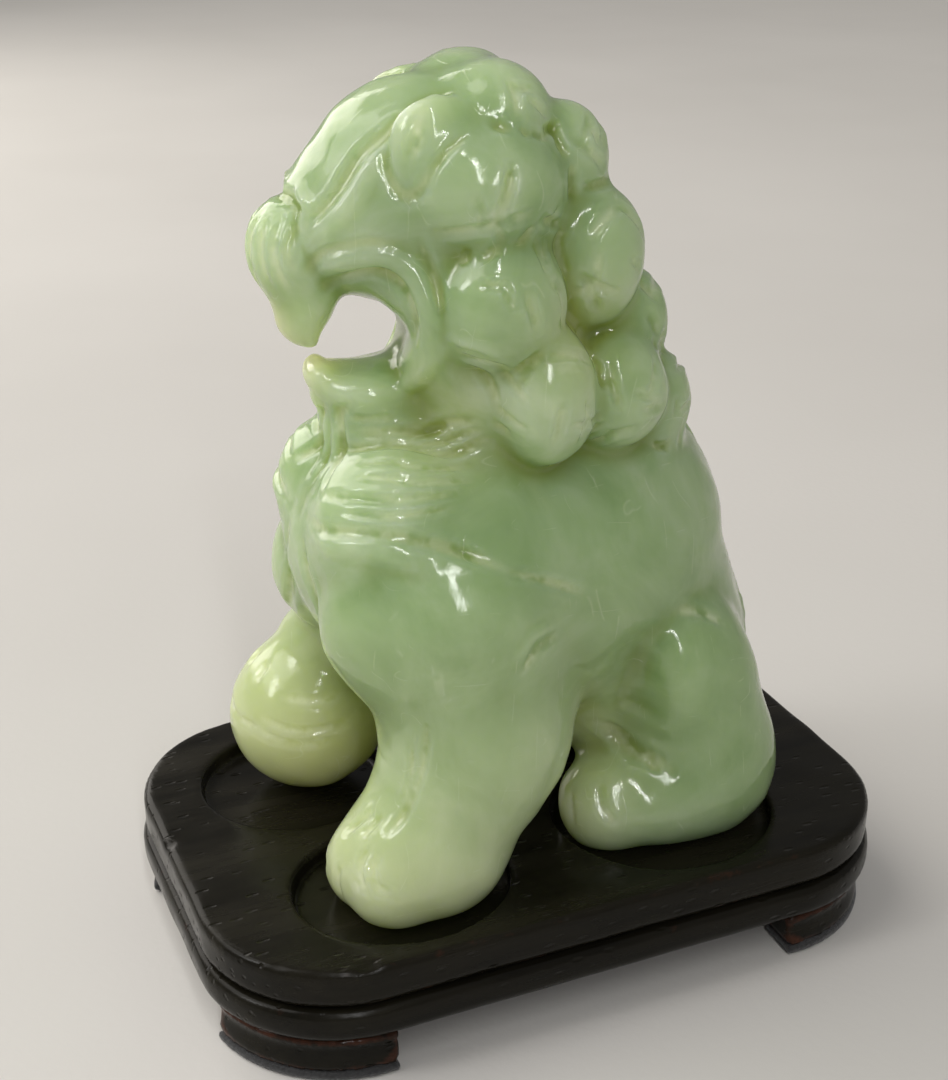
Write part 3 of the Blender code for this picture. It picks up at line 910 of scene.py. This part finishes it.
class Nodes:
    """Short way to write a material's nodes."""

    def __init__(self, name):
        self.material = bpy.data.materials.new(name)
        self.material.use_nodes = True
        self.tree = self.material.node_tree
        self.shader = self.tree.nodes["Principled BSDF"]
        self.place = self.make("ShaderNodeTexCoord").outputs["Object"]

    def make(self, kind, inputs=None, **settings):
        node = self.tree.nodes.new(kind)
        for key, value in settings.items():
            setattr(node, key, value)
        for key, value in (inputs or {}).items():
            self.put(node.inputs[key], value)
        return node

    def put(self, socket, value):
        if isinstance(value, bpy.types.NodeSocket):
            self.tree.links.new(value, socket)
        else:
            socket.default_value = value

    def set(self, **inputs):
        for key, value in inputs.items():
            self.put(self.shader.inputs[key.replace("_", " ")], value)

    def stretched(self, scale):
        mapping = self.make("ShaderNodeMapping", {"Vector": self.place, "Scale": scale})
        return mapping.outputs["Vector"]

    def noise(self, scale, detail=3.0, rough=0.5, vector=None, distortion=0.0):
        inputs = {
            "Vector": vector or self.place,
            "Scale": scale,
            "Detail": detail,
            "Roughness": rough,
            "Distortion": distortion,
        }
        return self.make("ShaderNodeTexNoise", inputs).outputs["Fac"]

    def ramp(self, value, stops):
        node = self.make("ShaderNodeValToRGB", {"Fac": value})
        band = node.color_ramp
        while len(band.elements) < len(stops):
            band.elements.new(0.5)
        for element, (position, colour) in zip(band.elements, stops):
            element.position = position
            if isinstance(colour, (int, float)):
                colour = (colour, colour, colour)
            element.color = (*colour, 1.0)
        return node.outputs["Color"]

    def mix(self, share, a, b):
        node = self.make("ShaderNodeMix", data_type="RGBA")
        for socket, value in zip((node.inputs[0], node.inputs[6], node.inputs[7]), (share, a, b)):
            if isinstance(value, tuple) and len(value) == 3:
                value = (*value, 1.0)
            self.put(socket, value)
        return node.outputs[2]

    def math(self, operation, a, b):
        node = self.make("ShaderNodeMath", operation=operation)
        self.put(node.inputs[0], a)
        self.put(node.inputs[1], b)
        return node.outputs[0]

    def value(self, name):
        return self.make("ShaderNodeAttribute", attribute_name=name).outputs["Fac"]

    def bump(self, height, strength, distance, below=None):
        inputs = {"Height": height, "Strength": strength, "Distance": distance}
        if below is not None:
            inputs["Normal"] = below
        return self.make("ShaderNodeBump", inputs).outputs["Normal"]


DEEP_JADE = (0.22, 0.34, 0.13)
MID_JADE = (0.31, 0.43, 0.21)
PALE_JADE = (0.42, 0.52, 0.32)
# milky clouds of the stone, laid only on thin parts and bosses, where they are also a painted sheen and
# glow
MILKY_AND_SHEEN_JADE = (0.50, 0.60, 0.42)
# painted shade: deeper green where the stone is thick
SHADED_THICK_JADE = (0.20, 0.32, 0.13)
# painted shade: darker yellow-olive laid into creases and hollows
SHADED_CREVICE_JADE = (0.25, 0.33, 0.05)
# painted glow of light through the stone, also laid round the mouth as painted shade
GLOW_JADE = (0.74, 0.70, 0.24)
# painted light: paler colour on the low front parts
LIT_LOW_JADE = (0.56, 0.62, 0.37)
# painted shade: darker green towards the rear of the lion
SHADED_REAR_JADE = (0.20, 0.29, 0.13)
# pale colour of the polishing scratches, and painted highlight along the cuts
PALE_SCRATCH_AND_GLINT = (0.86, 0.90, 0.70)
SHOW_THROUGH = 0.012  # how deep light travels in the stone, in metres
# Fine polishing scratches: noise scale and stretch.
SCRATCHES = ((240.0, (1.0, 0.15, 1.0)), (200.0, (1.0, 1.0, 0.12)), (170.0, (0.4, 1.0, 0.3)))
SCRATCH_STRENGTH = 0.14


def jade_material():
    n = Nodes("jade_finish")
    cloud = n.noise(95.0, 4.0, 0.55, distortion=0.6)
    body = n.ramp(cloud, ((0.30, DEEP_JADE), (0.50, MID_JADE), (0.70, PALE_JADE)))
    # milky clouds on thin parts, partly real and partly a painted sheen and glow of light through the
    # stone
    thin = n.ramp(n.value("thick"), ((0.25, 0.8), (0.50, 0.0)))
    body = n.mix(n.math("MULTIPLY", thin, n.noise(160.0, 3.0, 0.6)), body, MILKY_AND_SHEEN_JADE)
    # painted shade where the stone is thick
    body = n.mix(n.ramp(n.value("thick"), ((0.55, 0.0), (0.95, 0.5))), body, SHADED_THICK_JADE)
    # painted shade in the creases, where the hollow share is high
    body = n.mix(n.ramp(n.value("hollow"), ((0.50, 0.0), (0.66, 0.8))), body, SHADED_CREVICE_JADE)
    # painted glow, and painted shade round the mouth
    body = n.mix(n.value("painted_glow_and_shade"), body, GLOW_JADE)
    axes = n.make("ShaderNodeSeparateXYZ", {"Vector": n.place})
    # painted light on the low front parts, fading upwards and towards the rear
    low = n.ramp(axes.outputs["Z"], ((0.015, 0.5), (0.045, 0.0)))
    front = n.ramp(axes.outputs["Y"], ((0.0, 1.0), (0.010, 0.15)))
    body = n.mix(n.math("MULTIPLY", low, front), body, LIT_LOW_JADE)
    # painted shade, growing towards the rear
    body = n.mix(n.ramp(axes.outputs["Y"], ((0.004, 0.0), (0.026, 0.4))), body, SHADED_REAR_JADE)
    n.set(Subsurface_Scale=SHOW_THROUGH)
    n.set(Subsurface_Radius=(1.0, 1.0, 0.6))
    grain = n.noise(700.0, 3.0, 0.6)
    n.set(Roughness=n.ramp(grain, ((0.35, 0.07), (0.70, 0.17))))
    n.set(IOR=1.6)
    n.set(Specular_IOR_Level=0.38)
    # painted highlight: pale broken lines along the cuts where light catches their edges, with less light
    # scattered below
    broken = n.ramp(n.noise(420.0, 2.0, 0.5), ((0.38, 0.0), (0.52, 1.0)))
    carved = n.math("MULTIPLY", n.math("MULTIPLY", n.value("cut"), broken), 0.65)
    body = n.mix(carved, body, PALE_SCRATCH_AND_GLINT)
    n.set(Subsurface_Weight=n.math("SUBTRACT", 1.0, n.math("MULTIPLY", carved, 0.8)))
    normal = n.bump(n.noise(210.0, 2.0, 0.5), 0.25, 0.0006)
    for scale, stretch in SCRATCHES:
        contour = n.noise(scale, 1.0, 0.4, n.stretched(stretch))
        scratch = n.ramp(contour, ((0.495, 0.0), (0.5, 1.0), (0.505, 0.0)))
        rare = n.ramp(n.noise(scale * 1.3, 2.0, 0.5), ((0.57, 0.0), (0.62, 1.0)))
        cut = n.math("MULTIPLY", scratch, rare)
        body = n.mix(n.math("MULTIPLY", cut, SCRATCH_STRENGTH), body, PALE_SCRATCH_AND_GLINT)
        normal = n.bump(cut, SCRATCH_STRENGTH, 0.0001, normal)
    n.set(Base_Color=body)
    polish = n.noise(1500.0, 4.0, 0.6, n.stretched((1.0, 1.0, 0.35)))
    n.set(Normal=n.bump(polish, 0.10, 0.0002, normal))
    return n.material


LACQUER_DARK = (0.005, 0.0045, 0.003)
LACQUER_LIGHT = (0.015, 0.013, 0.008)
WORN_WOOD = (0.055, 0.019, 0.010)


def lacquer_material():
    n = Nodes("lacquer_finish")
    grain = n.noise(260.0, 5.0, 0.65, n.stretched((1.0, 0.12, 1.0)))
    edge = n.ramp(n.value("hollow"), ((0.25, 1.0), (0.40, 0.0)))
    worn = n.math("MULTIPLY", edge, n.noise(500.0, 4.0, 0.7))
    black = n.ramp(grain, ((0.35, LACQUER_DARK), (0.75, LACQUER_LIGHT)))
    n.set(Base_Color=n.mix(n.ramp(worn, ((0.30, 0.0), (0.58, 1.0))), black, WORN_WOOD))
    n.set(Roughness=n.ramp(grain, ((0.30, 0.14), (0.80, 0.38))))
    n.set(Specular_IOR_Level=0.14)
    pits = n.make("ShaderNodeTexVoronoi", {"Vector": n.stretched((1.0, 0.4, 1.0)), "Scale": 900.0})
    pitted = n.bump(n.ramp(pits.outputs["Distance"], ((0.05, 0.0), (0.25, 1.0))), 0.45, 0.0002)
    n.set(Normal=n.bump(grain, 0.15, 0.0002, pitted))
    return n.material


FELT_DARK = (0.010, 0.010, 0.011)
FELT_LIGHT = (0.05, 0.05, 0.052)
FLOOR_DARK = (0.60, 0.582, 0.555)
FLOOR_LIGHT = (0.65, 0.632, 0.605)


def felt_material():
    n = Nodes("felt_finish")
    fibre = n.noise(2600.0, 4.0, 0.8)
    n.set(Base_Color=n.ramp(fibre, ((0.3, FELT_DARK), (0.8, FELT_LIGHT))))
    n.set(Roughness=0.95)
    n.set(Sheen_Weight=0.3)
    n.set(Normal=n.bump(fibre, 0.7, 0.0004))
    return n.material


def floor_material():
    n = Nodes("floor_finish")
    n.set(Base_Color=n.ramp(n.noise(9.0, 3.0), ((0.3, FLOOR_DARK), (0.8, FLOOR_LIGHT))))
    n.set(Roughness=0.7)
    n.set(Normal=n.bump(n.noise(900.0, 3.0), 0.1, 0.0003))
    return n.material


def build_object():
    lion_clay = model_lion()
    values = {**hollow_and_thin(lion_clay), "painted_glow_and_shade": painted_glow_and_shade(lion_clay), "cut": lion_clay.cut_glints}
    lion = make_piece("jade_carving", lion_clay, jade_material(), values)
    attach(lion, "figure")
    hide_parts("jade_lion")
    lacquer = lacquer_material()
    felt = felt_material()
    wood = [("top_board_worn", model_top_board(), "stand_top_board")]
    wood.append(("moulding_worn", model_moulding(), "stand_moulding"))
    pads = []
    for end, side_y in (("front", -1), ("rear", 1)):
        for side, side_x in (("left", 1), ("right", -1)):
            corner = f"{end}_{side}"
            wood.append((f"foot_worn_{corner}", model_foot(side_x, side_y), f"stand_foot_{corner}"))
            pads.append((f"felt_{corner}", model_pad(side_x, side_y), f"felt_pad_{corner}"))
    for rows, finish, slot in ((wood, lacquer, "lacquered_wood"), (pads, felt, "felt")):
        for name, clay, node in rows:
            piece = make_piece(name, clay, finish, hollow_and_thin(clay))
            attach(piece, "stand")
            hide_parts(node)


FLOOR_HALF = 2.5
WORLD_COLOUR = (0.95, 0.93, 0.90, 1.0)
WORLD_STRENGTH = 0.27


def build_stage():
    mesh = bpy.data.meshes.new("floor")
    corners = [(x * FLOOR_HALF, y * FLOOR_HALF, 0) for x, y in ((-1, -1), (1, -1), (1, 1), (-1, 1))]
    mesh.from_pydata(corners, [], [(0, 1, 2, 3)])
    mesh.materials.append(floor_material())
    floor = bpy.data.objects.new("floor", mesh)
    floor.location.z = -0.0001
    bpy.context.scene.collection.objects.link(floor)
    world = bpy.data.worlds.new("studio")
    bpy.context.scene.world = world
    world.use_nodes = True
    background = world.node_tree.nodes["Background"]
    background.inputs["Color"].default_value = WORLD_COLOUR
    background.inputs["Strength"].default_value = WORLD_STRENGTH


# Area lights: name, place and size in metres, power in watts, colour.
AREA_LIGHTS = (
    ("window", (0.436, -0.093, 0.445), (0.024, 0.50), 1.25, (1.0, 1.0, 1.0)),
    ("left_soft", (-0.02, -0.50, 0.40), (0.12, 0.20), 0.5, (1.0, 1.0, 1.0)),
    ("behind", (-0.50, -0.20, 0.30), (0.4, 0.4), 1.6, (1.0, 0.95, 0.88)),
)
LIGHT_TARGET = Vector((0.0, 0.0, 0.045))
KEY_STRENGTH = 1.35
KEY_ANGLE = math.radians(50)
KEY_COLOUR = (1.0, 0.97, 0.92)
KEY_DIRECTION = Vector((0.25, 0.72, -0.9))


def area_light(name, place, size, power, colour):
    data = bpy.data.lights.new(name, "AREA")
    data.shape = "RECTANGLE"
    data.size, data.size_y = size
    data.energy = power
    data.color = colour
    made = bpy.data.objects.new(name, data)
    made.location = place
    made.rotation_euler = (LIGHT_TARGET - Vector(place)).to_track_quat("-Z", "Y").to_euler()
    bpy.context.scene.collection.objects.link(made)


def build_lights():
    data = bpy.data.lights.new("soft_key", "SUN")
    data.energy = KEY_STRENGTH
    data.angle = KEY_ANGLE
    data.color = KEY_COLOUR
    key = bpy.data.objects.new("soft_key", data)
    key.rotation_euler = KEY_DIRECTION.to_track_quat("-Z", "Y").to_euler()
    bpy.context.scene.collection.objects.link(key)
    for row in AREA_LIGHTS:
        area_light(*row)


CAMERA_PLACE = (0.1405, -0.0641, 0.1114)
CAMERA_AZIMUTH = math.radians(66.69)
CAMERA_ELEVATION = math.radians(24.67)
CAMERA_LENS = 57.17


def build_camera():
    data = bpy.data.cameras.new("camera")
    data.lens = CAMERA_LENS
    data.sensor_width = 36.0
    data.clip_start = 0.005
    camera = bpy.data.objects.new("camera", data)
    camera.location = CAMERA_PLACE
    level = math.cos(CAMERA_ELEVATION)
    look = Vector(
        (
            -math.sin(CAMERA_AZIMUTH) * level,
            math.cos(CAMERA_AZIMUTH) * level,
            -math.sin(CAMERA_ELEVATION),
        )
    )
    camera.rotation_euler = look.to_track_quat("-Z", "Y").to_euler()
    bpy.context.scene.collection.objects.link(camera)
    bpy.context.scene.camera = camera


build_object()
build_stage()
build_lights()
build_camera()
bpy.context.scene.view_settings.view_transform = "Standard"
